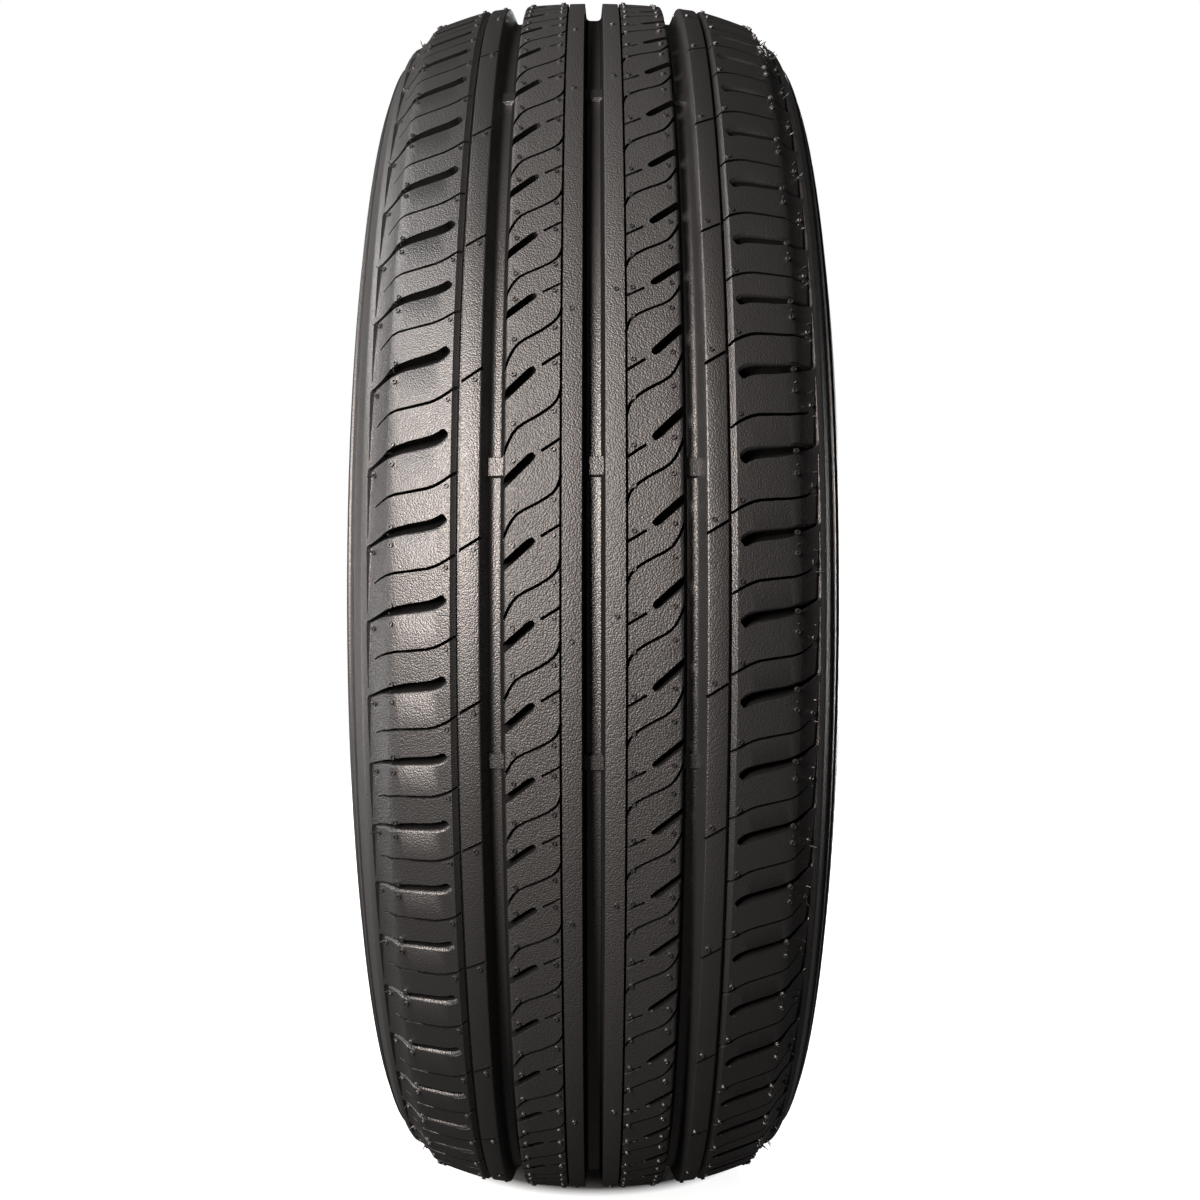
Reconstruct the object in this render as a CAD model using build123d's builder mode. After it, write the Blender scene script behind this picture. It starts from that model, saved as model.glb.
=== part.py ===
"""A passenger car tyre of the size 195/65 R15, moulded as one ring of rubber.

The tyre stands upright with its centre at the origin and turns about Y, so the sidewalls face +Y
and -Y. Lengths are in millimetres and angles in degrees. An offset is a distance from the middle of
the tread along Y, and a radius is a distance from the axis.

The tread pattern repeats in pitches of three lengths. One pitch of each length is modelled at the
top of the tyre, with its slots, and copies of them make the ring. A pitch is straight along its
length, which leaves it within half a millimetre of the round. The bead seats are bored truly round.
"""
import os
from math import cos, radians, sin, sqrt, tan

from build123d import *

# Overall size
outside_diameter = 635.0
section_width = 199.6
bead_seat_diameter = 380.0
bead_heel_spread = 152.0

# Tread surface
crown_radius = 380.0
shoulder_edge = 77.0
shoulder_edge_drop = 11.3

# Grooves that run round the tread
groove_depth = 8.0
groove_draft = 8.0
centre_groove_width = 9.0
wide_groove_inner_edge = 32.8
wide_groove_width = 9.5
wide_groove_outer_lean = 3.6
narrow_groove_inner_edge = 49.6
narrow_groove_width = 3.4
narrow_groove_depth = 1.6
narrow_groove_steep_width = 0.4

# Flank below the shoulder, and the ledge under it, where the sidewall starts
flank_width = 7.8
ledge_drop = 20.6
ledge_step = 1.6682

# Sidewall, an ellipse that bulges round the widest radius from the ledge down to the bead heel
widest_radius = 250.0
sidewall_bulge = 29.8
sidewall_upper_angle = 52.0
sidewall_upper_steps = 3
sidewall_lower_angle = 70.0
sidewall_lower_steps = 3
heel_step = 5.1093

# Bead
bead_heel_height = 8.0
bead_width = 21.0
bead_toe_height = 6.0
seat_stock = 1.0

# Inner surface
sidewall_thickness = 6.5
crown_thickness = 7.0
lining_crown_edge = 45.0
lining_crown_drop = 2.2
lining_shoulder_drop = 8.5
lining_upper_steps = 2
lining_lower_angle = 70.0
toe_step = 16.4123

# Slots across the shoulders and the inner ribs, sloping down from right to left
shoulder_slot_start = 55.2
shoulder_slot_width = 3.6
shoulder_slot_depth = 6.5
shoulder_slot_slant = 16.0
shoulder_slot_runout = 6.0
rib_slot_start = 22.3
rib_slot_width = 3.0
rib_slot_depth = 5.5
rib_slot_slant = 38.0
slot_clearance = 4.0

# Pitches: lengths as shares of a medium one, and their order, which repeats round the tyre
pitch_share = {"S": 0.89, "M": 1.0, "L": 1.11}
pitch_order = "LLMMSLLMMMSSSSMLMMLSSM"
pitch_order_repeats = 3
first_pitch_angle = 47.15

# Where the slots start, as shares of the pitch from its upper end
left_shoulder_slot_phase = 0.325
right_shoulder_slot_phase = 0.655
left_rib_slot_phase = 0.595
right_rib_slot_phase = 0.405

outside_radius = outside_diameter / 2
half_width = section_width / 2
bead_seat_radius = bead_seat_diameter / 2
bead_heel = bead_heel_spread / 2
bead_toe = bead_heel - bead_width
shoulder_radius = outside_radius - shoulder_edge_drop
ledge_inner_edge = shoulder_edge + flank_width
ledge_radius = outside_radius - ledge_drop
slot_runout_edge = shoulder_edge + shoulder_slot_runout
lining_crown_radius = outside_radius - groove_depth - crown_thickness

# Heights of the ellipses of the sidewall and the lining above and below the widest radius
sidewall_upper_reach = ledge_radius - ledge_step - widest_radius
sidewall_upper_height = sidewall_upper_reach / sin(radians(sidewall_upper_angle))
sidewall_lower_reach = widest_radius - heel_step - bead_heel_height - bead_seat_radius
sidewall_lower_height = sidewall_lower_reach / sin(radians(sidewall_lower_angle))
lining_upper_height = lining_crown_radius - lining_shoulder_drop - widest_radius
lining_lower_reach = widest_radius - toe_step - bead_toe_height - bead_seat_radius
lining_lower_height = lining_lower_reach / sin(radians(lining_lower_angle))


def crown(offset):
    """Radius of the tread surface."""
    return outside_radius - crown_radius + sqrt(crown_radius**2 - offset**2)


def flank(offset):
    """Radius of the flank, which falls from the shoulder edge to the ledge."""
    share = (offset - shoulder_edge) / (ledge_inner_edge - shoulder_edge)
    return shoulder_radius + share * (ledge_radius - shoulder_radius)


def bulge(depth, height, angles):
    """Points on an ellipse in the sidewall, by their angles above its widest point."""
    middle = half_width - sidewall_bulge
    return [
        (middle + depth * cos(radians(angle)), widest_radius + height * sin(radians(angle)))
        for angle in angles
    ]


def steps(start, end, count):
    """Evenly spaced angles after the start, up to the end."""
    return [start + (end - start) * step / count for step in range(1, count + 1)]


# Half of the section, from the middle of the tread over the sidewall and the bead to the lining
draft_width = groove_depth * tan(radians(groove_draft))
centre_groove_edge = centre_groove_width / 2
wide_groove_outer_edge = wide_groove_inner_edge + wide_groove_width
wide_groove_floor_edge = wide_groove_outer_edge - wide_groove_outer_lean
narrow_groove_floor = narrow_groove_inner_edge + narrow_groove_steep_width
narrow_groove_outer_edge = narrow_groove_inner_edge + narrow_groove_width
lining_bulge = sidewall_bulge - sidewall_thickness
sidewall_upper = [sidewall_upper_angle, *steps(sidewall_upper_angle, 0, sidewall_upper_steps)]
half_section = [
    (0, outside_radius - groove_depth),
    (centre_groove_edge - draft_width, outside_radius - groove_depth),
    (centre_groove_edge, crown(centre_groove_edge)),
    (wide_groove_inner_edge, crown(wide_groove_inner_edge)),
    (wide_groove_inner_edge + draft_width, crown(wide_groove_inner_edge) - groove_depth),
    (wide_groove_floor_edge, crown(wide_groove_inner_edge) - groove_depth),
    (wide_groove_outer_edge, crown(wide_groove_outer_edge)),
    (narrow_groove_inner_edge, crown(narrow_groove_inner_edge)),
    (narrow_groove_floor, crown(narrow_groove_inner_edge) - narrow_groove_depth),
    (narrow_groove_outer_edge, crown(narrow_groove_outer_edge)),
    (shoulder_edge, shoulder_radius),
    (ledge_inner_edge, ledge_radius),
    *bulge(sidewall_bulge, sidewall_upper_height, sidewall_upper),
    *bulge(sidewall_bulge, sidewall_lower_height, steps(0, -sidewall_lower_angle, sidewall_lower_steps)),
    (bead_heel, bead_seat_radius + bead_heel_height),
    (bead_heel, bead_seat_radius - seat_stock),
    (bead_toe, bead_seat_radius - seat_stock),
    (bead_toe, bead_seat_radius + bead_toe_height),
    *bulge(lining_bulge, lining_lower_height, [-lining_lower_angle, 0]),
    *bulge(lining_bulge, lining_upper_height, steps(0, 90, lining_upper_steps)),
    (lining_crown_edge, lining_crown_radius - lining_crown_drop),
    (0, lining_crown_radius),
]


def slot_cutter(start, width, slant, floor, end, end_floor):
    """Cutter for a slot of the left half at the top of the tyre, with a floor that runs straight."""
    along = radians(slant)
    slot_plane = Plane(
        origin=(0, -start, 0),
        x_dir=(sin(along), -cos(along), 0),
        z_dir=(-cos(along), -sin(along), 0),
    )
    reach = (end - start) / cos(along)
    top = outside_radius + slot_clearance
    with BuildPart() as cutter:
        with BuildSketch(slot_plane):
            with BuildLine():
                Polyline((0, floor), (reach, end_floor), (reach, top), (0, top), close=True)
            make_face()
        extrude(amount=width / 2, both=True)
    return cutter.part


shoulder_slot_floor = crown(shoulder_slot_start) - shoulder_slot_depth
shoulder_slot_fall = (shoulder_slot_floor - flank(slot_runout_edge)) / (
    slot_runout_edge - shoulder_slot_start
)
shoulder_slot = slot_cutter(
    shoulder_slot_start,
    shoulder_slot_width,
    shoulder_slot_slant,
    shoulder_slot_floor,
    slot_runout_edge + slot_clearance,
    flank(slot_runout_edge) - shoulder_slot_fall * slot_clearance,
)
rib_slot_floor = crown(rib_slot_start) - rib_slot_depth
rib_slot = slot_cutter(
    rib_slot_start,
    rib_slot_width,
    rib_slot_slant,
    rib_slot_floor,
    (wide_groove_inner_edge + wide_groove_floor_edge) / 2,
    rib_slot_floor,
)
slots = [
    (shoulder_slot, left_shoulder_slot_phase, 0),
    (shoulder_slot, right_shoulder_slot_phase, 180),
    (rib_slot, left_rib_slot_phase, 0),
    (rib_slot, right_rib_slot_phase, 180),
]


def pitch(angle):
    """One pitch of the tyre, over the given angle at the top, with its corners on the true radii."""
    flat = cos(radians(angle / 2))
    with BuildPart() as block:
        with BuildSketch(Plane.YZ):
            with BuildLine():
                Polyline(*[(offset, radius * flat) for offset, radius in half_section])
                mirror(about=Plane.YZ)
            make_face()
        extrude(amount=outside_radius * tan(radians(angle)), both=True)
        split(bisect_by=Plane.YZ.rotated((0, angle / 2, 0)), keep=Keep.BOTTOM)
        split(bisect_by=Plane.YZ.rotated((0, -angle / 2, 0)), keep=Keep.TOP)
        for cutter, phase, turn in slots:
            with Locations(Location((0, 0, 0), (0, (phase - 1 / 2) * angle, turn))):
                add(cutter, mode=Mode.SUBTRACT)
    return block.part


# Angles of the three pitches, and the places round the tyre of the copies of each
pitches = pitch_order * pitch_order_repeats
medium_angle = 360 / sum(pitch_share[size] for size in pitches)
pitch_angle = {size: share * medium_angle for size, share in pitch_share.items()}
places = {size: [] for size in pitch_share}
upper_end = first_pitch_angle
for size in pitches:
    middle_angle = upper_end - pitch_angle[size] / 2
    places[size].append(Location((0, 0, 0), (0, 90 - middle_angle, 0)))
    upper_end -= pitch_angle[size]

with BuildPart() as tyre:
    for size in pitch_share:
        block = pitch(pitch_angle[size])
        with Locations(*places[size]):
            add(block)
    Cylinder(bead_seat_radius, section_width, rotation=(90, 0, 0), mode=Mode.SUBTRACT)

tyre.part.label = "tyre"
os.makedirs("parts", exist_ok=True)
export_step(tyre.part, "parts/tyre.step")
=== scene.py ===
"""The looks of a passenger car tyre, modelled round its CAD solid and seen as in the photograph.

The tread is modelled flat, one pitch at a time, in millimetres: X runs along the tread, downwards as
the viewer sees it, Y is the offset from the middle of the tread, and Z is the height above the crown.
The pitches are laid end to end and the strip is bent into a ring. A radius is a distance from the
axis, and angles are in degrees.
"""
import math
import random

import bpy
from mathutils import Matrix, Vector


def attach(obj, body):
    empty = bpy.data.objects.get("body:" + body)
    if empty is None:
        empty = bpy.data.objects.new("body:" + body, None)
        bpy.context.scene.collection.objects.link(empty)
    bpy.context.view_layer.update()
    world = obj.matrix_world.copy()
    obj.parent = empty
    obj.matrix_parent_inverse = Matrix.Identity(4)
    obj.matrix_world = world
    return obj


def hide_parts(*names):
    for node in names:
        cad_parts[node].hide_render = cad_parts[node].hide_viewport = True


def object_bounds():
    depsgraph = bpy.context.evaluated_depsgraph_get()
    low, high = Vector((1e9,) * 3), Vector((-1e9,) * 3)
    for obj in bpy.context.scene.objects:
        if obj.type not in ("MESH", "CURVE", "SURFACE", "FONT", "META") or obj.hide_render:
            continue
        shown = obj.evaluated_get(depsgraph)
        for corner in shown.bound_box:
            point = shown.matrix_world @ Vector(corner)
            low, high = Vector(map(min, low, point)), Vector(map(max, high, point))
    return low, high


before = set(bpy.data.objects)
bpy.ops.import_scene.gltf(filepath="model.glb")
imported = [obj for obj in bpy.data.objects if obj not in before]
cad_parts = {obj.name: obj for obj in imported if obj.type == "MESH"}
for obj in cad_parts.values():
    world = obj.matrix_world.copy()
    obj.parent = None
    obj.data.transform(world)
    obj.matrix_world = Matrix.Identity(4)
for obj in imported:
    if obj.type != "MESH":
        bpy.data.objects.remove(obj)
cad_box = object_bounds()

MM = 0.001

# Crown
outside_radius = 317.5
half_width = 99.8
crown_radius = 380.0

# Grooves that run round the tread, and the edges of the ribs between them
groove_depth = 8.0
groove_floor_rounding = 2.0
centre_groove_edge = 4.3
centre_groove_wall_lean = 0.8
thin_groove_edges = (11.7, 12.7)
thin_groove_wall_lean = 0.15
thin_groove_depth = 2.6
wide_groove_edges = (32.8, 41.9)
wide_groove_inner_lean = 1.2
wide_groove_outer_lean = 3.2
narrow_groove_edges = (49.6, 53.0)
narrow_groove_floor = (49.8, 50.6)
narrow_groove_depth = 3.0
narrow_groove_lip = 50.9
narrow_groove_lip_depth = 1.8
narrow_groove_edge_rounding = 0.3
centre_rib_edge_rounding = 0.3
inner_rib_points = (18.5, 25.0)
inner_rib_edge_rounding = 1.2
outer_rib_edge_rounding = 0.8
rounding_steps = 3

# Shoulder, hollow flank below it, and the ledge where the sidewall starts
rib_edge = 52.6
shoulder_edge = 77.0
shoulder_slope = 0.25
shoulder_radius = 306.2
shoulder_points = (57.5, 62.5, 67.5, 72.0, 75.4)
flank_points = (77.6, 79.6, 82.0, 84.2)
flank_end = 86.2
flank_end_radius = 296.9
flank_hollow = 1.2
ledge_points = ((87.7, 296.3), (88.5, 295.2))

# Sidewall, an ellipse that bulges round the widest radius, with plain raised rings
widest_radius = 250.0
sidewall_bulge = 29.8
sidewall_upper_height = 57.4
sidewall_lower_height = 49.9
sidewall_upper_angle = 52
sidewall_lower_angle = -70
sidewall_step = 10
sidewall_ring_angles = (41, 34, -37, -44, -55)
sidewall_ring_height = 0.7
sidewall_ring_width = 1.1

# Bead
bead_seat_radius = 190.0
bead_heel = 76.0
bead_heel_height = 7.6
bead_flare = 1.2
bead_flare_height = 9.6
bead_toe = 55.0
bead_toe_height = 6.0
bead_rounding = 1.6

# Lining of the inside
sidewall_thickness = 6.5
lining_crown_radius = 302.5
lining_crown_edge = 45.0
lining_crown_drop = 2.2
lining_crown_half_drop = 0.5
lining_upper_height = 44.0
lining_upper_step = 30
lining_lower_height = 40.0
lining_lower_angle = -70
lining_lower_step = 20

# Pitches of the tread: lengths as shares of a medium one, and their order, which repeats
pitch_share = {"S": 0.89, "M": 1.0, "L": 1.11}
pitch_order = "LLMMSLLMMMSSSSMLMMLSSM"
pitch_order_repeats = 3
first_pitch_angle = 47.15
slot_phase = 0.325
slices_per_pitch = 2

# Wear bars in the deep grooves: angles above the viewer's level, and each groove's middle and half span
wear_bar_angles = (43.4, 8.9, -11.6)
wear_bar_spans = ((0, 4.0), (-36.5, 3.6), (36.5, 3.6))
wear_bar_length = 9.0
wear_bar_height = 1.6
wear_bar_top_share = 0.7
wear_bar_margin = 0.2

# Tolerances for welding points and for choosing faces
cutter_weld = 0.001
seam_weld = 0.004
cutter_margin = 0.1
end_tolerance = 0.001
facing_end = 0.999
facing_up = 0.9
smooth_angle = 35

round_length = 2 * math.pi * outside_radius
pitches = pitch_order * pitch_order_repeats
medium_pitch = round_length / sum(pitch_share[size] for size in pitches)
pitch_starts = [0.0]
for size in pitches:
    pitch_starts.append(pitch_starts[-1] + pitch_share[size] * medium_pitch)
first_pitch_turn = math.radians(90 - first_pitch_angle)
wide_groove_floor = (
    wide_groove_edges[0] + wide_groove_inner_lean,
    wide_groove_edges[1] - wide_groove_outer_lean,
)


def crown(offset):
    """Radius of the tread before any cut."""
    return outside_radius - crown_radius + math.sqrt(crown_radius**2 - offset**2)


def surface(offset):
    """Radius of the tread, the rounded shoulder and the hollow flank before any cut."""
    offset = abs(offset)
    if offset <= rib_edge:
        return crown(offset)
    if offset <= shoulder_edge:
        run = offset - rib_edge
        full = shoulder_edge - rib_edge
        bend = (crown(rib_edge) - shoulder_radius - shoulder_slope * full) / full**2
        return crown(rib_edge) - shoulder_slope * run - bend * run**2
    run = (offset - shoulder_edge) / (flank_end - shoulder_edge)
    drop = shoulder_radius - flank_end_radius
    return shoulder_radius - drop * run - flank_hollow * 4 * run * (1 - run)


def rounded(corners):
    """Outline through corners of offset, radius and rounding, each rounded by a short arc."""
    points = [corners[0][:2]]
    for before, corner, after in zip(corners, corners[1:], corners[2:]):
        rounding = corner[2]
        if not rounding:
            points.append(corner[:2])
            continue
        way_in = math.atan2(before[1] - corner[1], before[0] - corner[0])
        way_out = math.atan2(after[1] - corner[1], after[0] - corner[0])
        opening = (way_out - way_in + math.pi) % (2 * math.pi) - math.pi
        middle_way = way_in + opening / 2
        reach = rounding / abs(math.sin(opening / 2))
        centre = (corner[0] + reach * math.cos(middle_way), corner[1] + reach * math.sin(middle_way))
        sweep = math.copysign(math.pi, opening) - opening
        for step in range(rounding_steps + 1):
            turn = middle_way + math.pi + sweep * (0.5 - step / rounding_steps)
            points.append((centre[0] + rounding * math.cos(turn), centre[1] + rounding * math.sin(turn)))
    return points + [corners[-1][:2]]


def ellipse(depth, height, angle, lift=0.0):
    """Point on an ellipse in the sidewall, by its angle above the widest point."""
    turn = math.radians(angle)
    middle = half_width - sidewall_bulge
    return (middle + (depth + lift) * math.cos(turn), widest_radius + (height + lift) * math.sin(turn))


def sidewall_point(angle, lift=0.0):
    """Point on the outside of the sidewall, or lifted off it."""
    height = sidewall_upper_height if angle > 0 else sidewall_lower_height
    return ellipse(sidewall_bulge, height, angle, lift)


def tread_section():
    """Half of the tread, from its middle to the ledge."""
    thin_floor = crown(thin_groove_edges[0]) - thin_groove_depth
    corners = [
        (0, outside_radius - groove_depth, 0),
        (centre_groove_edge - centre_groove_wall_lean, outside_radius - groove_depth, groove_floor_rounding),
        (centre_groove_edge, crown(centre_groove_edge), centre_rib_edge_rounding),
        (thin_groove_edges[0], crown(thin_groove_edges[0]), 0),
        (thin_groove_edges[0] + thin_groove_wall_lean, thin_floor, 0),
        (thin_groove_edges[1] - thin_groove_wall_lean, thin_floor, 0),
        (thin_groove_edges[1], crown(thin_groove_edges[1]), 0),
        *((offset, crown(offset), 0) for offset in inner_rib_points),
        (wide_groove_edges[0], crown(wide_groove_edges[0]), inner_rib_edge_rounding),
        *((offset, crown(offset) - groove_depth, groove_floor_rounding) for offset in wide_groove_floor),
        (wide_groove_edges[1], crown(wide_groove_edges[1]), outer_rib_edge_rounding),
        (narrow_groove_edges[0], crown(narrow_groove_edges[0]), narrow_groove_edge_rounding),
        *((offset, crown(offset) - narrow_groove_depth, 0) for offset in narrow_groove_floor),
        (narrow_groove_lip, crown(narrow_groove_lip) - narrow_groove_lip_depth, 0),
        (narrow_groove_edges[1], surface(narrow_groove_edges[1]), 0),
        *((offset, surface(offset), 0) for offset in shoulder_points + flank_points),
        (flank_end, flank_end_radius, 0),
        *((offset, radius, 0) for offset, radius in ledge_points),
    ]
    return rounded(corners)


def sidewall_section():
    """Half of the outside below the ledge, with plain raised rings."""
    points = []
    for angle in range(sidewall_upper_angle, sidewall_lower_angle - 1, -sidewall_step):
        points.append((angle, sidewall_point(angle)))
    half_top = math.degrees(sidewall_ring_width / 2 / sidewall_lower_height)
    half_foot = 2 * half_top
    for angle in sidewall_ring_angles:
        for shift in (half_foot, half_top, -half_top, -half_foot):
            lift = sidewall_ring_height if abs(shift) == half_top else 0
            points.append((angle + shift, sidewall_point(angle + shift, lift)))
    points.sort(reverse=True)
    return [point for _, point in points]


def bead_section():
    """Half of the bead: heel, seat and toe with rounded corners."""
    return [
        (bead_heel + bead_flare, bead_seat_radius + bead_flare_height),
        (bead_heel, bead_seat_radius + bead_heel_height),
        (bead_heel, bead_seat_radius + bead_rounding),
        (bead_heel - bead_rounding, bead_seat_radius),
        (bead_toe + bead_rounding, bead_seat_radius),
        (bead_toe, bead_seat_radius + bead_rounding),
        (bead_toe, bead_seat_radius + bead_toe_height),
    ]


def lining_section():
    """Half of the inside, from the toe up to the middle of the crown."""
    depth = sidewall_bulge - sidewall_thickness
    lower_angles = range(lining_lower_angle, 0, lining_lower_step)
    upper_angles = range(0, 91, lining_upper_step)
    return [
        *(ellipse(depth, lining_lower_height, angle) for angle in lower_angles),
        *(ellipse(depth, lining_upper_height, angle) for angle in upper_angles),
        (lining_crown_edge, lining_crown_radius - lining_crown_drop),
        (lining_crown_edge / 2, lining_crown_radius - lining_crown_half_drop),
        (0, lining_crown_radius),
    ]


def select_only(piece):
    bpy.ops.object.select_all(action="DESELECT")
    piece.select_set(True)
    bpy.context.view_layer.objects.active = piece


def select_faces(piece, wanted):
    """Selects the faces that are wanted, and leaves the piece in edit mode."""
    select_only(piece)
    bpy.ops.object.mode_set(mode="EDIT")
    bpy.ops.mesh.select_mode(type="FACE")
    bpy.ops.mesh.select_all(action="DESELECT")
    bpy.ops.object.mode_set(mode="OBJECT")
    for face in piece.data.polygons:
        face.select = wanted(face)
    bpy.ops.object.mode_set(mode="EDIT")


def merge_doubles(piece, distance):
    select_only(piece)
    bpy.ops.object.mode_set(mode="EDIT")
    bpy.ops.mesh.select_all(action="SELECT")
    bpy.ops.mesh.remove_doubles(threshold=distance)
    bpy.ops.object.mode_set(mode="OBJECT")


def face_outwards(piece):
    select_only(piece)
    bpy.ops.object.mode_set(mode="EDIT")
    bpy.ops.mesh.select_all(action="SELECT")
    bpy.ops.mesh.normals_make_consistent(inside=False)
    bpy.ops.object.mode_set(mode="OBJECT")


def apply_modifier(piece, kind, **settings):
    select_only(piece)
    bpy.ops.object.modifier_add(type=kind)
    modifier = piece.modifiers[-1]
    for name, value in settings.items():
        setattr(modifier, name, value)
    bpy.ops.object.modifier_apply(modifier=modifier.name)


def join(pieces):
    select_only(pieces[0])
    for piece in pieces:
        piece.select_set(True)
    bpy.ops.object.join()
    return bpy.context.object


def pitch_block():
    """A medium pitch of the whole tyre laid flat, before its slots are cut."""
    half = [*tread_section(), *sidewall_section(), *bead_section(), *lining_section()]
    outline = half + [(-offset, radius) for offset, radius in reversed(half[1:-1])]
    bpy.ops.object.select_all(action="DESELECT")
    bpy.ops.mesh.primitive_circle_add(vertices=len(outline), fill_type="NGON")
    block = bpy.context.object
    for vertex, (offset, radius) in zip(block.data.vertices, outline):
        vertex.co = (0, offset, radius - outside_radius)
    bpy.ops.object.mode_set(mode="EDIT")
    bpy.ops.mesh.select_all(action="SELECT")
    bpy.ops.mesh.extrude_region_move(TRANSFORM_OT_translate={"value": (medium_pitch, 0, 0)})
    bpy.ops.object.mode_set(mode="OBJECT")
    face_outwards(block)
    return block


def cutter_profile(name, points):
    """Section of a cutter: x points up the tread on the left half, y stands off the tread."""
    curve = bpy.data.curves.new(name, "CURVE")
    curve.dimensions = "2D"
    spline = curve.splines.new("POLY")
    spline.points.add(len(points) - 1)
    for point, (x, y) in zip(spline.points, points):
        point.co = (x, y, 0, 1)
    spline.use_cyclic_u = True
    profile = bpy.data.objects.new(name, curve)
    bpy.context.collection.objects.link(profile)
    return profile


def cutter(path, profile, steps, shift):
    """Cutter swept along points of offset, height up the tread and size, a number of pitches along."""
    bpy.ops.object.select_all(action="DESELECT")
    bpy.ops.curve.primitive_bezier_curve_add()
    curve = bpy.context.object.data
    curve.twist_mode = "Z_UP"
    curve.bevel_mode = "OBJECT"
    curve.bevel_object = profile
    curve.use_fill_caps = True
    curve.resolution_u = steps
    spline = curve.splines[0]
    spline.bezier_points.add(len(path) - 2)
    for point, (offset, height, size) in zip(spline.bezier_points, path):
        along = (slot_phase + shift) * medium_pitch - height
        point.co = (along, offset, surface(offset) - outside_radius)
        point.handle_left_type = "AUTO"
        point.handle_right_type = "AUTO"
        point.radius = size
    bpy.ops.object.convert(target="MESH")
    swept = bpy.context.object
    merge_doubles(swept, cutter_weld)
    face_outwards(swept)
    return swept


def turned(path, height):
    """The same cut on the right half, turned half round so that it starts at the given height."""
    start = path[0][1]
    return [(-offset, height - (up - start), size) for offset, up, size in path]


# Sections of the cutters. The slot of the shoulder has a lip that slopes on its lower side.
slot_profile = cutter_profile(
    "slot_profile",
    [
        (-3.4, 2.0), (2.4, 2.0), (2.0, 0), (1.5, -5.6), (0.9, -6.3),
        (-0.4, -6.3), (-1.0, -5.6), (-1.7, -1.2), (-2.1, -0.3), (-2.8, 0.15),
    ],
)
rib_slot_profile = cutter_profile(
    "rib_slot_profile",
    [(-1.9, 2.0), (1.9, 2.0), (1.6, 0), (1.2, -4.9), (0.6, -5.5), (-0.6, -5.5), (-1.2, -4.9), (-1.6, 0)],
)
recess_profile = cutter_profile(
    "recess_profile", [(0.2, 2.2), (1.9, 0.2), (-0.4, -1.6), (-1.3, -1.2), (-1.7, 0.9)]
)
sipe_profile = cutter_profile("sipe_profile", [(-0.62, 2.0), (0.62, 2.0), (0.5, -5.0), (-0.5, -5.0)])

# Paths of the cuts on the left half: offset, height up the tread from the slot's inner end, and size
shoulder_slot = [
    (-54.9, 0.9, 0.5), (-55.6, 0.3, 0.85), (-57.6, -1.2, 1), (-61.5, -2.4, 1),
    (-68.5, -3.4, 0.97), (-75.3, -4.8, 0.85), (-80.0, -6.6, 0.5), (-85.2, -9.4, 0.3),
]
flank_recess = [
    (-84.7, -8.6, 0.5), (-85.0, -9.6, 1), (-85.2, -14.0, 0.85), (-85.4, -24.0, 0.5), (-85.5, -36.0, 0.15),
]
shoulder_sipe = [
    (-51.2, 16.6, 1), (-56.5, 13.4, 1), (-61.5, 11.6, 1),
    (-73.9, 10.2, 1), (-79.5, 8.4, 0.8), (-82.6, 6.4, 0.45),
]
outer_rib_sipe = [(-49.8, 18.0, 1), (-41.6, 23.0, 1)]
inner_rib_slot = [(-21.9, -8.1, 0.5), (-22.6, -8.7, 0.85), (-24.0, -9.9, 1), (-34.6, -19.4, 1)]
inner_rib_half_sipe = [(-19.4, 23.2, 1), (-12.0, 27.7, 1)]
inner_rib_sipe = [
    (-12.0, 15.2, 1), (-13.6, 10.6, 1), (-17.0, 7.4, 1), (-22.5, 4.2, 1),
    (-28.4, 0.8, 1), (-31.4, -3.6, 1), (-33.4, -8.4, 1),
]

# Cuts of every pitch: path, section, steps of the sweep, and the height where the right half's twin starts
pitch_cuts = [
    (shoulder_slot, slot_profile, 2, -9.8),
    (shoulder_sipe, sipe_profile, 2, 2.2),
    (inner_rib_slot, rib_slot_profile, 2, -2.9),
    (inner_rib_half_sipe, sipe_profile, 1, 25.5),
    (inner_rib_sipe, sipe_profile, 2, 4.8),
    (flank_recess, recess_profile, 2, -0.3),
]
outer_rib_cut = (outer_rib_sipe, sipe_profile, 1, 29.5)
outer_rib_cut_shift = 1
cut_shifts = (-2, -1, 0, 1, 2)


def twin_cutters(cut, shift):
    """Cutters for a cut on the left half and its twin on the right half, a number of pitches along."""
    path, profile, steps, right_height = cut
    return [cutter(path, profile, steps, shift), cutter(turned(path, right_height), profile, steps, shift)]


def wear_bar(along, middle, half_span):
    """Wear bar across a groove: a low block with sloping ends on the groove's floor."""
    floor = crown(middle) - groove_depth - outside_radius
    bpy.ops.object.select_all(action="DESELECT")
    bpy.ops.mesh.primitive_cube_add(size=1, location=(along, middle, floor))
    bar = bpy.context.object
    bar.scale = (wear_bar_length, 2 * half_span, 2 * wear_bar_height)
    bar.rotation_euler.x = -math.asin(middle / crown_radius)
    bpy.ops.object.transform_apply()
    select_faces(bar, lambda face: face.normal.z > facing_up)
    bpy.ops.transform.resize(value=(wear_bar_top_share, 1, 1))
    bpy.ops.object.mode_set(mode="OBJECT")
    return bar


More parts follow.
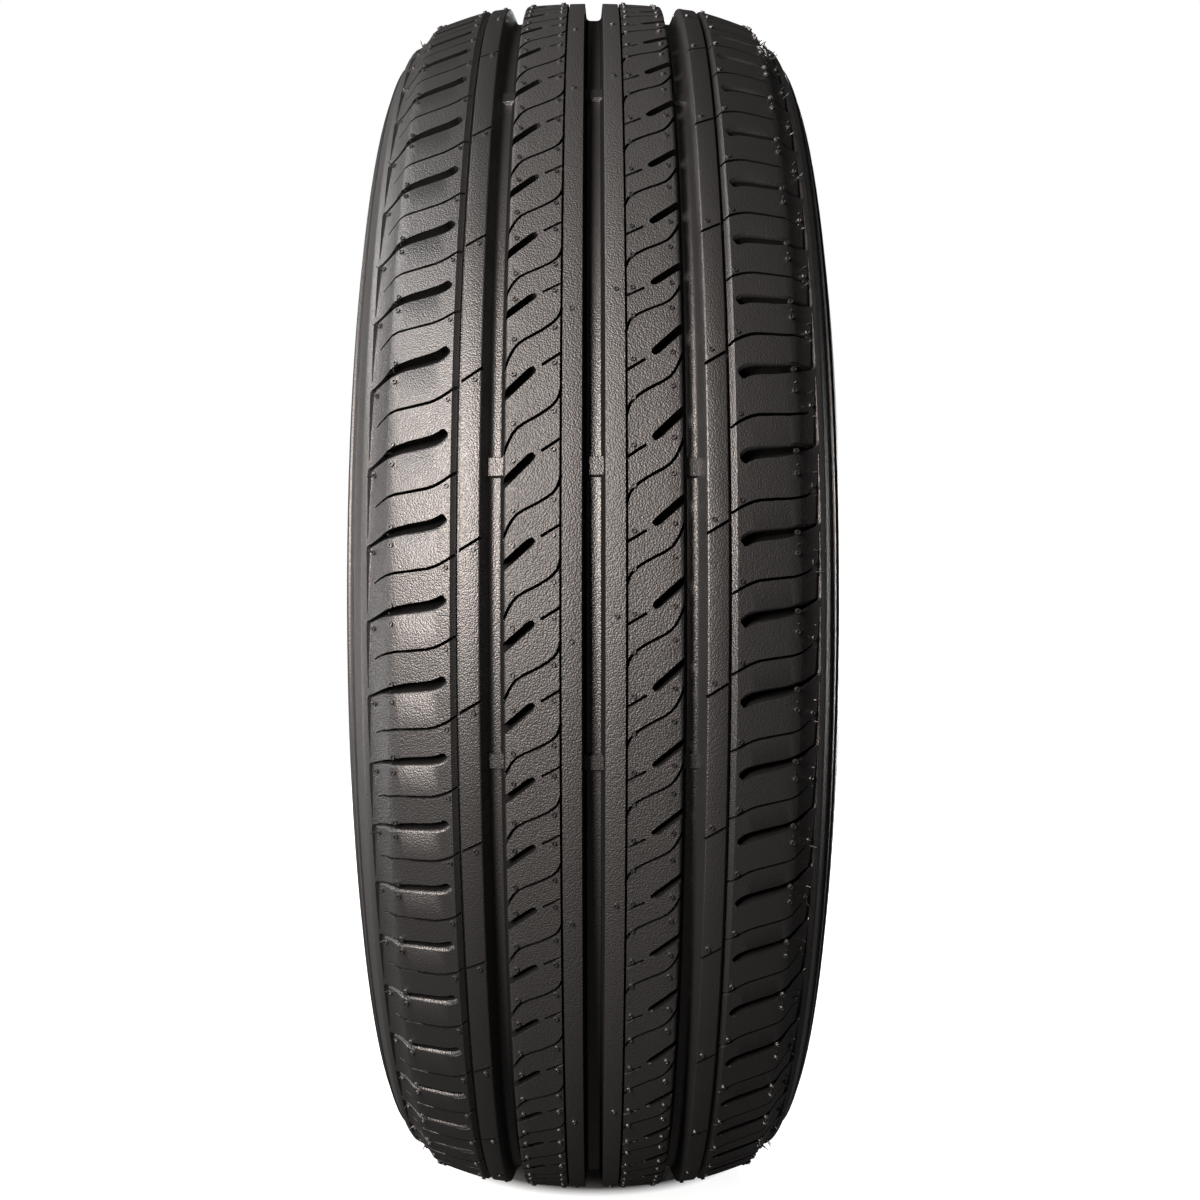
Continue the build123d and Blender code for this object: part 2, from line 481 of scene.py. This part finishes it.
def cut_pitch(with_outer_rib_sipe, bar_place):
    """A pitch with its wear bars, and with its slots and sipes cut."""
    block = pitch_block()
    cutters = []
    for shift in cut_shifts:
        for cut in pitch_cuts:
            cutters += twin_cutters(cut, shift)
    if with_outer_rib_sipe:
        cutters += twin_cutters(outer_rib_cut, outer_rib_cut_shift)
    near = []
    for piece in cutters:
        low = min(vertex.co.x for vertex in piece.data.vertices)
        high = max(vertex.co.x for vertex in piece.data.vertices)
        if high > -cutter_margin and low < medium_pitch + cutter_margin:
            near.append(piece)
        else:
            bpy.data.objects.remove(piece)
    if bar_place:
        for middle, half_span in wear_bar_spans:
            bar = wear_bar(bar_place, middle, half_span)
            apply_modifier(block, "BOOLEAN", operation="UNION", object=bar, solver="EXACT")
            bpy.data.objects.remove(bar)
    tool = join(near)
    apply_modifier(block, "BOOLEAN", operation="DIFFERENCE", object=tool, solver="EXACT", use_self=True)
    bpy.data.objects.remove(tool)
    return block


def open_ends(block):
    """Takes off the end faces of a pitch, slices it across the middle and makes triangles of its faces."""

    def at_end(face):
        distance = min(face.center.x, medium_pitch - face.center.x)
        return distance < end_tolerance and abs(face.normal.x) > facing_end

    select_faces(block, at_end)
    bpy.ops.mesh.delete(type="FACE")
    for part in range(1, slices_per_pitch):
        bpy.ops.mesh.select_all(action="SELECT")
        bpy.ops.mesh.bisect(plane_co=(medium_pitch * part / slices_per_pitch, 0, 0), plane_no=(1, 0, 0))
    bpy.ops.mesh.select_all(action="SELECT")
    bpy.ops.mesh.quads_convert_to_tris(quad_method="BEAUTY", ngon_method="BEAUTY")
    bpy.ops.object.mode_set(mode="OBJECT")


def cuts_outer_rib(number):
    """Every second pitch has a sipe and a stub on its outer ribs."""
    return number % 2 == 1


def wear_bar_place(number):
    """Where the wear bars lie along a pitch, on the scale of a medium one, or None."""
    start, end = pitch_starts[number], pitch_starts[number + 1]
    for angle in wear_bar_angles:
        for repeat in range(pitch_order_repeats):
            turn = first_pitch_angle - angle + repeat * 360 / pitch_order_repeats
            along = math.radians(turn) * outside_radius % round_length
            if start <= along < end:
                share = min(max((along - start) / (end - start), wear_bar_margin), 1 - wear_bar_margin)
                return round(medium_pitch * share, 1)
    return None


def bend_to_ring(strip):
    """Bends a strip that lies along X into a ring round Y, and turns millimetres into metres."""
    select_only(strip)
    strip.rotation_euler.x = -math.pi / 2
    bpy.ops.object.transform_apply()
    apply_modifier(strip, "SIMPLE_DEFORM", deform_method="BEND", deform_axis="Z", angle=-2 * math.pi)
    strip.location.y = outside_radius
    bpy.ops.object.transform_apply()
    strip.rotation_euler.x = math.pi / 2
    bpy.ops.object.transform_apply()
    merge_doubles(strip, seam_weld)
    strip.scale = (MM, MM, MM)
    bpy.ops.object.transform_apply()


def make_tyre():
    """The whole tyre: copies of the cut pitches in their order, bent into a ring."""
    patterns = {}
    copies = []
    for number, size in enumerate(pitches):
        kind = (cuts_outer_rib(number), wear_bar_place(number))
        if kind not in patterns:
            patterns[kind] = cut_pitch(*kind)
            open_ends(patterns[kind])
        select_only(patterns[kind])
        bpy.ops.object.duplicate()
        copy = bpy.context.object
        copy.scale.x = pitch_share[size]
        copy.location.x = first_pitch_turn * outside_radius + pitch_starts[number]
        copies.append(copy)
    for pattern in patterns.values():
        bpy.data.objects.remove(pattern)
    for copy in copies:
        select_only(copy)
        bpy.ops.object.transform_apply()
    ring = join(copies)
    ring.name = "tyre_rubber"
    merge_doubles(ring, seam_weld)
    bend_to_ring(ring)
    return ring


# Stubs that the mould's vents leave, as offset and height up the tread from the left slot's inner end
pitch_stubs = [
    (-29.9, 20.0), (-14.9, 23.8), (-14.9, 6.6), (-29.9, 2.6),
    (-75.5, 28.0), (-75.5, 21.0), (-54.5, 12.0), (-83.0, 18.6),
    (14.6, 25.3), (14.6, 11.3), (29.3, 15.8), (29.5, -2.2),
    (54.3, 6.9), (76.0, 25.9), (76.0, 17.9), (83.0, 15.0),
]
outer_rib_stubs = [(-44.5, 18.6), (44.1, 29.9)]
centre_rib_stubs = [(-8.4, -15.3), (8.4, -6.0)]
centre_rib_stub_spacing = 4
stub_sides = 8
stub_radius = 1.15
stub_top_share = 0.8
stub_height = 0.8
stub_root = 0.5
stub_rim = 0.3
stub_hollow = 0.7
stub_hollow_lean = 0.12

# Vent hairs, as offset, height up the tread and greatest length, and how unevenly they stand
pitch_hairs = [(-83.6, 18.6, 4.0), (83.6, 11.0, 4.0), (-76.0, 25.0, 1.6), (76.0, 21.0, 1.6), (83.2, 20.0, 3.0)]
hair_sides = 6
hair_radius = 0.35
hair_tip_share = 0.5
hair_root = 0.5
hair_lean = 25
hair_tilt = 20
hair_shortest_share = 0.4
hair_seed = 7

# Half of the run over which the slope under a stub or hair is measured
slope_run = 0.2


def strip_place(number, height):
    """Distance along the flat strip of a place in a pitch, by its height up the tread."""
    share = (slot_phase - height / medium_pitch) % 1
    return pitch_starts[number] + share * pitch_share[pitches[number]] * medium_pitch


def ring_place(along, offset, height):
    """Place and turn, in metres, of a small piece on the tread, by its distance along the flat strip."""
    turn = first_pitch_turn + along / outside_radius
    radius = surface(offset) + height
    slope = math.atan2(surface(offset - slope_run) - surface(offset + slope_run), 2 * slope_run)
    place = (radius * math.sin(turn) * MM, offset * MM, radius * math.cos(turn) * MM)
    return place, (-slope, turn, 0)


def own_copy(piece):
    """Copy of a piece with its own mesh."""
    copy = piece.copy()
    copy.data = piece.data.copy()
    bpy.context.collection.objects.link(copy)
    return copy


def make_stub():
    """One vent stub: a low round collar with a hollow in its top."""
    bpy.ops.object.select_all(action="DESELECT")
    bpy.ops.mesh.primitive_cylinder_add(
        vertices=stub_sides,
        radius=stub_radius * MM,
        depth=(stub_height + stub_root) * MM,
        end_fill_type="NGON",
    )
    stub = bpy.context.object
    select_faces(stub, lambda face: face.normal.z > facing_up)
    bpy.ops.transform.resize(value=(stub_top_share, stub_top_share, 1))
    bpy.ops.mesh.inset(thickness=stub_rim * MM, depth=0)
    bpy.ops.mesh.inset(thickness=stub_hollow_lean * MM, depth=-stub_hollow * MM)
    bpy.ops.object.mode_set(mode="OBJECT")
    return stub


def make_stubs():
    """All the vent stubs of the tread and the flanks."""
    stub = make_stub()
    copies = []
    for number in range(len(pitches)):
        places = list(pitch_stubs)
        if cuts_outer_rib(number):
            places += outer_rib_stubs
        if number % centre_rib_stub_spacing == 0:
            places += centre_rib_stubs
        for offset, height in places:
            copy = own_copy(stub)
            along = strip_place(number, height)
            copy.location, copy.rotation_euler = ring_place(along, offset, (stub_height - stub_root) / 2)
            copies.append(copy)
    bpy.data.objects.remove(stub)
    stubs = join(copies)
    bpy.ops.object.transform_apply()
    stubs.name = "vent_stubs"
    return stubs


def make_hair():
    """One vent hair: a thin tapering whisker of rubber, a millimetre long before it is scaled."""
    bpy.ops.object.select_all(action="DESELECT")
    bpy.ops.mesh.primitive_cone_add(
        vertices=hair_sides,
        radius1=hair_radius * MM,
        radius2=hair_radius * hair_tip_share * MM,
        depth=MM,
        location=(0, 0, MM / 2),
    )
    hair = bpy.context.object
    bpy.ops.object.transform_apply()
    return hair


def make_hairs():
    """Vent hairs that are left on the flanks and the shoulders, of uneven length and lean."""
    hair = make_hair()
    uneven = random.Random(hair_seed)
    copies = []
    for number in range(len(pitches)):
        for offset, height, longest in pitch_hairs:
            copy = own_copy(hair)
            copy.location, turn = ring_place(strip_place(number, height), offset, -hair_root)
            lean = math.radians(uneven.uniform(-hair_lean, hair_lean))
            tilt = math.radians(uneven.uniform(-hair_tilt, hair_tilt))
            copy.rotation_euler = (turn[0] + lean, turn[1] + tilt, 0)
            copy.scale.z = hair_root + longest * uneven.uniform(hair_shortest_share, 1) ** 2
            copies.append(copy)
    bpy.data.objects.remove(hair)
    hairs = join(copies)
    bpy.ops.object.transform_apply()
    hairs.name = "vent_hairs"
    return hairs


def linear(colour):
    """Linear colour, with alpha, of an sRGB hex value."""
    channels = [int(colour[start:start + 2], 16) / 255 for start in (1, 3, 5)]
    return [c / 12.92 if c <= 0.04045 else ((c + 0.055) / 1.055) ** 2.4 for c in channels] + [1]


def add_node(tree, kind, inputs=None, **settings):
    """Adds a node with its settings; an input is a value or the output of another node."""
    node = tree.nodes.new(kind)
    for name, value in settings.items():
        setattr(node, name, value)
    for name, value in (inputs or {}).items():
        if isinstance(value, bpy.types.NodeSocket):
            tree.links.new(value, node.inputs[name])
        else:
            node.inputs[name].default_value = value
    return node


def new_material(name):
    material = bpy.data.materials.new(name)
    material.use_nodes = True
    material.node_tree.nodes.clear()
    return material


# Size in millimetres of the cloudy bloom on the rubber, and how far it and the specks turn the roughness
bloom_size = 30
roughness_swing = 0.06


def rubber(name, dark, light, roughness, grain, grain_depth, gloss, ior=1.65):
    """Rubber vulcanised in a mould: near black, with a cloudy bloom, fine specks and a pebbled grain.

    The grain's size and depth are in millimetres.
    """
    material = new_material(name)
    tree = material.node_tree
    place = add_node(tree, "ShaderNodeTexCoord").outputs["Object"]
    bloom = add_node(
        tree,
        "ShaderNodeTexNoise",
        {"Vector": place, "Scale": 1 / (bloom_size * MM), "Detail": 5, "Roughness": 0.6},
    )
    pebble = add_node(tree, "ShaderNodeTexVoronoi", {"Vector": place, "Scale": 1 / (grain * MM)})
    speck = add_node(tree, "ShaderNodeSeparateColor", {"Color": pebble.outputs["Color"]})
    blend = add_node(
        tree,
        "ShaderNodeMix",
        {0: 0.5, 2: bloom.outputs["Fac"], 3: speck.outputs["Red"]},
        data_type="FLOAT",
    )
    colour = add_node(
        tree,
        "ShaderNodeMix",
        {0: blend.outputs[0], 6: linear(dark), 7: linear(light)},
        data_type="RGBA",
    )
    matt = add_node(
        tree,
        "ShaderNodeMapRange",
        {
            "Value": blend.outputs[0],
            "From Min": 0.2,
            "From Max": 0.8,
            "To Min": roughness + roughness_swing,
            "To Max": roughness - roughness_swing,
        },
    )
    dome = add_node(tree, "ShaderNodeMath", {0: 1.0, 1: pebble.outputs["Distance"]}, operation="SUBTRACT")
    bump = add_node(
        tree,
        "ShaderNodeBump",
        {"Height": dome.outputs[0], "Strength": 1.0, "Distance": grain_depth * MM},
    )
    shader = add_node(
        tree,
        "ShaderNodeBsdfPrincipled",
        {
            "Base Color": colour.outputs[2],
            "Roughness": matt.outputs["Result"],
            "Normal": bump.outputs["Normal"],
            "Coat Normal": bump.outputs["Normal"],
            "IOR": ior,
            "Coat Weight": gloss,
            "Coat Roughness": roughness,
        },
    )
    add_node(tree, "ShaderNodeOutputMaterial", {"Surface": shader.outputs["BSDF"]})
    return material


tyre = make_tyre()
for profile in (slot_profile, rib_slot_profile, recess_profile, sipe_profile):
    bpy.data.objects.remove(profile)
select_only(tyre)
bpy.ops.object.shade_smooth_by_angle(angle=math.radians(smooth_angle))
stubs = make_stubs()
hairs = make_hairs()

# Tread: rubber full of carbon black, pressed hot against a blasted steel mould. The eye gets a soft
# gloss, broken up by a fine pebble into small glints. The real pebble is too fine to show here, so it
# is drawn coarser, and so are the grains of the other rubbers.
tread_rubber = rubber(
    "moulded_tread_rubber", "#18191a", "#252526", roughness=0.46, grain=0.65, grain_depth=0.15, gloss=0.8
)
# Ribs beside the centre groove: the same rubber from a rougher part of the mould. The deeper pebble
# makes them duller and plainly grained.
rib_rubber = rubber(
    "grained_rib_rubber", "#18191a", "#252526", roughness=0.58, grain=0.7, grain_depth=0.24, gloss=0.9
)
# Walls of the slots, sipes and grooves: the same rubber made matt and painted nearly black, with a low
# reflection: painted shade, so that the cuts look black as if deep in shadow.
painted_shade_rubber = rubber(
    "groove_painted_shade_rubber", "#090909", "#0c0c0c", roughness=0.9, grain=0.7, grain_depth=0.05, gloss=0.0, ior=1.3
)
# Sidewall: a more flexible rubber from a smoother mould, with wax that comes to its surface. The wax
# makes it greyer than the tread, with a low even sheen.
sidewall_rubber = rubber(
    "moulded_sidewall_rubber", "#272829", "#303132", roughness=0.5, grain=0.8, grain_depth=0.1, gloss=0.6
)
# Lining: airtight butyl rubber, pressed outwards by a rubber bladder. It is smooth but for a broad,
# shallow ripple, which makes its shine uneven.
liner_rubber = rubber(
    "butyl_liner_rubber", "#222324", "#2b2c2d", roughness=0.55, grain=2.5, grain_depth=0.2, gloss=0.6
)

# Depths below the surface where the painted-shade walls of the cuts start, and where the lining starts
tread_lip_depth = 1.25
flank_lip_depth = 2.0
lining_depth = 8.6
# Offset of the bead's outer face, how far a groove's wall faces sideways at least to get painted shade,
# and where the wide groove's leaning wall starts, which catches the light and so gets no painted shade
bead_face_offset = 74.0
steep = 0.35
lit_wall_margin = 0.5
lit_wall_start = wide_groove_floor[1] - lit_wall_margin


def rubber_of(face):
    """Rubber of a face of the tyre, by its place and the way it faces; walls in shade get painted shade."""
    offset = abs(face.center.y) / MM
    depth = surface(offset) - math.hypot(face.center.x, face.center.z) / MM
    outward = face.normal.y * face.center.y > 0
    in_deep_groove = offset < centre_groove_edge or wide_groove_edges[0] < offset < wide_groove_edges[1]
    in_narrow_groove = narrow_groove_edges[0] < offset < narrow_groove_edges[1]
    on_lit_wall = lit_wall_start < offset < wide_groove_edges[1]
    lip_depth = tread_lip_depth if offset < shoulder_edge else flank_lip_depth
    if depth > lining_depth:
        return sidewall_rubber if outward and offset > bead_face_offset else liner_rubber
    if offset > flank_end:
        return sidewall_rubber
    if in_narrow_groove or on_lit_wall:
        return tread_rubber
    # Walls deep in the cuts, where the shade falls, get the nearly black rubber of painted shade
    if depth > lip_depth and (not in_deep_groove or abs(face.normal.y) > steep):
        return painted_shade_rubber
    if centre_groove_edge < offset < wide_groove_edges[0]:
        return rib_rubber
    return tread_rubber


rubbers = [tread_rubber, rib_rubber, painted_shade_rubber, sidewall_rubber, liner_rubber]
for material in rubbers:
    tyre.data.materials.append(material)
for face in tyre.data.polygons:
    face.material_index = rubbers.index(rubber_of(face))
stubs.data.materials.append(tread_rubber)
hairs.data.materials.append(tread_rubber)

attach(tyre, "root")
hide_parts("tyre")
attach(stubs, "root")
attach(hairs, "root")

# Share of the white background that shows in a gloss, which is small because black rubber washes out
gloss_share = 0.01
room_strength = 0.01

# Floor, in metres: its size, how its glow fades from afar, and where the glow ends round the tyre's
# foot as a painted contact shadow, so that no white shows through the grooves there
floor_size = 12
glow_distances = (0.3, 1.6)
glow_strengths = (0.9, 1.0)
painted_shadow_stretch = (1, 0.85, 0)
painted_shadow_distances = (0.062, 0.074)


def soft_box(name, place, target, width, height, power, colour):
    """Studio light that faces its target."""
    bpy.ops.object.light_add(type="AREA", location=place)
    lamp = bpy.context.object
    lamp.name = name
    lamp.data.shape = "RECTANGLE"
    lamp.data.size = width
    lamp.data.size_y = height
    lamp.data.energy = power
    lamp.data.color = linear(colour)[:3]
    aim = [a - b for a, b in zip(target, place)]
    flat = math.hypot(aim[0], aim[1])
    lamp.rotation_euler = (math.atan2(flat, -aim[2]), 0, math.atan2(aim[1], aim[0]) - math.pi / 2)


def seen_share(tree):
    """How much of the white background a ray sees: all to the camera and through glass, little in a gloss."""
    ray = add_node(tree, "ShaderNodeLightPath")
    gloss = add_node(
        tree, "ShaderNodeMath", {0: ray.outputs["Is Glossy Ray"], 1: gloss_share}, operation="MULTIPLY"
    )
    direct = add_node(
        tree,
        "ShaderNodeMath",
        {0: ray.outputs["Is Camera Ray"], 1: ray.outputs["Is Transmission Ray"]},
        operation="MAXIMUM",
    )
    seen = add_node(tree, "ShaderNodeMath", {0: direct.outputs[0], 1: gloss.outputs[0]}, operation="MAXIMUM")
    return seen.outputs[0]


def make_stage():
    """Pale floor under the tyre, which shows white to the camera, keeps the tyre's shadow and has a painted
    shadow round its foot.
    """
    bpy.ops.object.select_all(action="DESELECT")
    bpy.ops.mesh.primitive_plane_add(size=floor_size, location=(0, 0, cad_box[0][2]))
    floor = bpy.context.object
    floor.name = "floor"
    # Painted studio floor, rolled matt: an even white with no shine
    material = new_material("white_studio_floor")
    tree = material.node_tree
    paint = add_node(tree, "ShaderNodeBsdfDiffuse", {"Color": linear("#c8c8c8")})
    place = add_node(tree, "ShaderNodeTexCoord").outputs["Object"]
    away = add_node(tree, "ShaderNodeVectorMath", {0: place}, operation="LENGTH")
    strength = add_node(
        tree,
        "ShaderNodeMapRange",
        {
            "Value": away.outputs["Value"],
            "From Min": glow_distances[0],
            "From Max": glow_distances[1],
            "To Min": glow_strengths[0],
            "To Max": glow_strengths[1],
        },
    )
    stretched = add_node(tree, "ShaderNodeVectorMath", {0: place, 1: painted_shadow_stretch}, operation="MULTIPLY")
    near = add_node(tree, "ShaderNodeVectorMath", {0: stretched.outputs["Vector"]}, operation="LENGTH")
    # Painted contact shadow: the glow is taken away round the tyre's foot
    foot = add_node(
        tree,
        "ShaderNodeMapRange",
        {"Value": near.outputs["Value"], "From Min": painted_shadow_distances[0], "From Max": painted_shadow_distances[1]},
    )
    fading = add_node(
        tree,
        "ShaderNodeMath",
        {0: strength.outputs["Result"], 1: foot.outputs["Result"]},
        operation="MULTIPLY",
    )
    glow = add_node(
        tree, "ShaderNodeEmission", {"Color": linear("#ffffff"), "Strength": fading.outputs[0]}
    )
    # To light bounced off it the floor is dark grey: a painted shade that keeps the tyre's shadows deep
    dull = add_node(tree, "ShaderNodeBsdfDiffuse", {"Color": linear("#303030")})
    both = add_node(tree, "ShaderNodeAddShader", {0: paint.outputs[0], 1: glow.outputs[0]})
    mixed = add_node(
        tree, "ShaderNodeMixShader", {0: seen_share(tree), 1: dull.outputs[0], 2: both.outputs[0]}
    )
    add_node(tree, "ShaderNodeOutputMaterial", {"Surface": mixed.outputs[0]})
    floor.data.materials.append(material)


def make_world():
    """White background to the camera, in a room that gives hardly any light of its own."""
    world = bpy.data.worlds.new("studio")
    world.use_nodes = True
    tree = world.node_tree
    tree.nodes.clear()
    room = add_node(tree, "ShaderNodeBackground", {"Color": linear("#ffffff"), "Strength": room_strength})
    white = add_node(tree, "ShaderNodeBackground", {"Color": linear("#ffffff"), "Strength": 1.0})
    seen = add_node(
        tree, "ShaderNodeMixShader", {0: seen_share(tree), 1: room.outputs[0], 2: white.outputs[0]}
    )
    add_node(tree, "ShaderNodeOutputWorld", {"Surface": seen.outputs[0]})
    bpy.context.scene.world = world


make_stage()
make_world()

# Soft boxes, in metres and watts: a warm one at the viewer's upper left, two weaker ones that lift the
# top and the left side, and two behind the tyre that only let its back be seen
tread_front = (outside_radius * MM, 0, 0)
soft_box("key_light", (1.04, -0.43, 0.28), tread_front, 0.2, 0.5, 20, "#fff2ea")
soft_box("top_light", (0.35, -1.0, 0.85), (0.2, 0, 0.2), 0.5, 0.5, 9.5, "#fffcfb")
soft_box("side_light", (0.1, -1.2, -0.2), (0.2, 0, -0.1), 0.5, 0.5, 4.5, "#fffcfb")
soft_box("back_light", (-1.5, 0.25, 0.55), (-0.2, 0, 0), 0.4, 0.8, 42, "#fffcfb")
soft_box("far_side_light", (-1.2, 1.0, 0.0), (0, 0.1, 0), 0.5, 0.5, 11, "#fffcfb")

# Camera straight in front of the tread, with the photograph's perspective and framing
camera_distance = 0.8614
camera_lens = 44.757
camera_sensor = 36
photo_side = 1200
photo_shift = (6.2, -4.8)
bpy.ops.object.camera_add(location=(camera_distance, 0, 0), rotation=(math.pi / 2, 0, math.pi / 2))
camera = bpy.context.object
camera.data.sensor_width = camera_sensor
camera.data.lens = camera_lens
camera.data.shift_x = photo_shift[0] / photo_side
camera.data.shift_y = photo_shift[1] / photo_side
bpy.context.scene.camera = camera
bpy.context.scene.view_settings.view_transform = "Standard"
